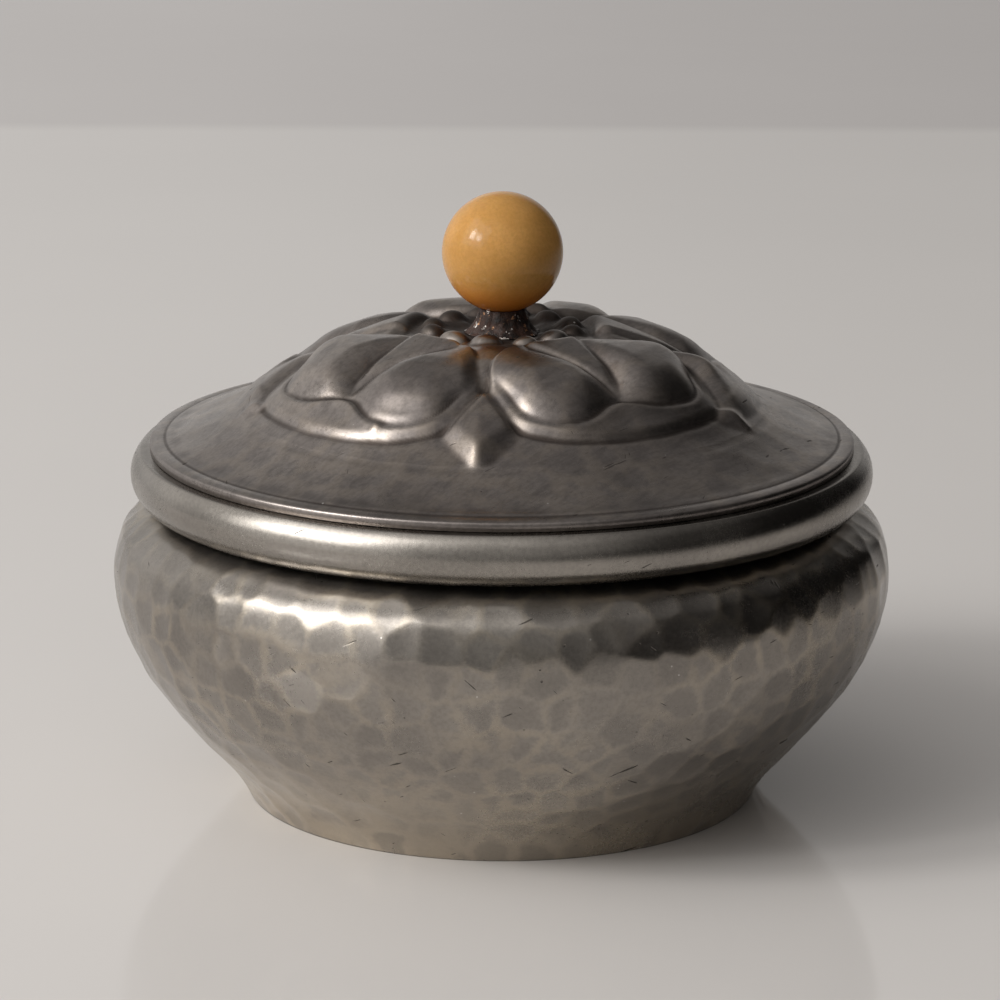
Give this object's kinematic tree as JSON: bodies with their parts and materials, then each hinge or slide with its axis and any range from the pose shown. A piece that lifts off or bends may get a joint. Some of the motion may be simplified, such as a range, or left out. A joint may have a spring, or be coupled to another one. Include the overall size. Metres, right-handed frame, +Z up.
{
  "type": "lidded sugar bowl",
  "caption": "Low round hammered pewter bowl with a lift-off domed lid, raised with a five-petalled flower and fitted with a ball knob, for holding sugar.",
  "frame": {"origin": "on the resting plane under the centre of the foot, bottom centre of the bounding box", "axes": "+Z up along the turning axis of the bowl and lid; -Y is the front, between two petals of the flower"},
  "size_m": [0.125, 0.125, 0.0976],
  "materials": {
    "hammered_pewter": "satin",
    "chased_pewter": "satin",
    "plain_pewter": "satin",
    "knob_resin": "gloss",
    "old_solder": "matte",
    "brass": "satin"
  },
  "bodies": {
    "bowl": {"bowl_shell": "hammered_pewter", "base_plate": "hammered_pewter", "mouth_ring": "plain_pewter"},
    "lid": {"lid_shell": "chased_pewter", "lid_rim_ring": "plain_pewter", "lid_bezel": "plain_pewter", "knob_ball": "knob_resin", "knob_seat": "old_solder", "knob_stud": "brass", "knob_washer": "brass", "knob_nut": "brass"}
  },
  "joints": [
    {"name": "lid_lift", "type": "slide", "parent": "bowl", "child": "lid", "axis": [0, 0, 1], "range_m": [0, 0.08]}
  ]
}
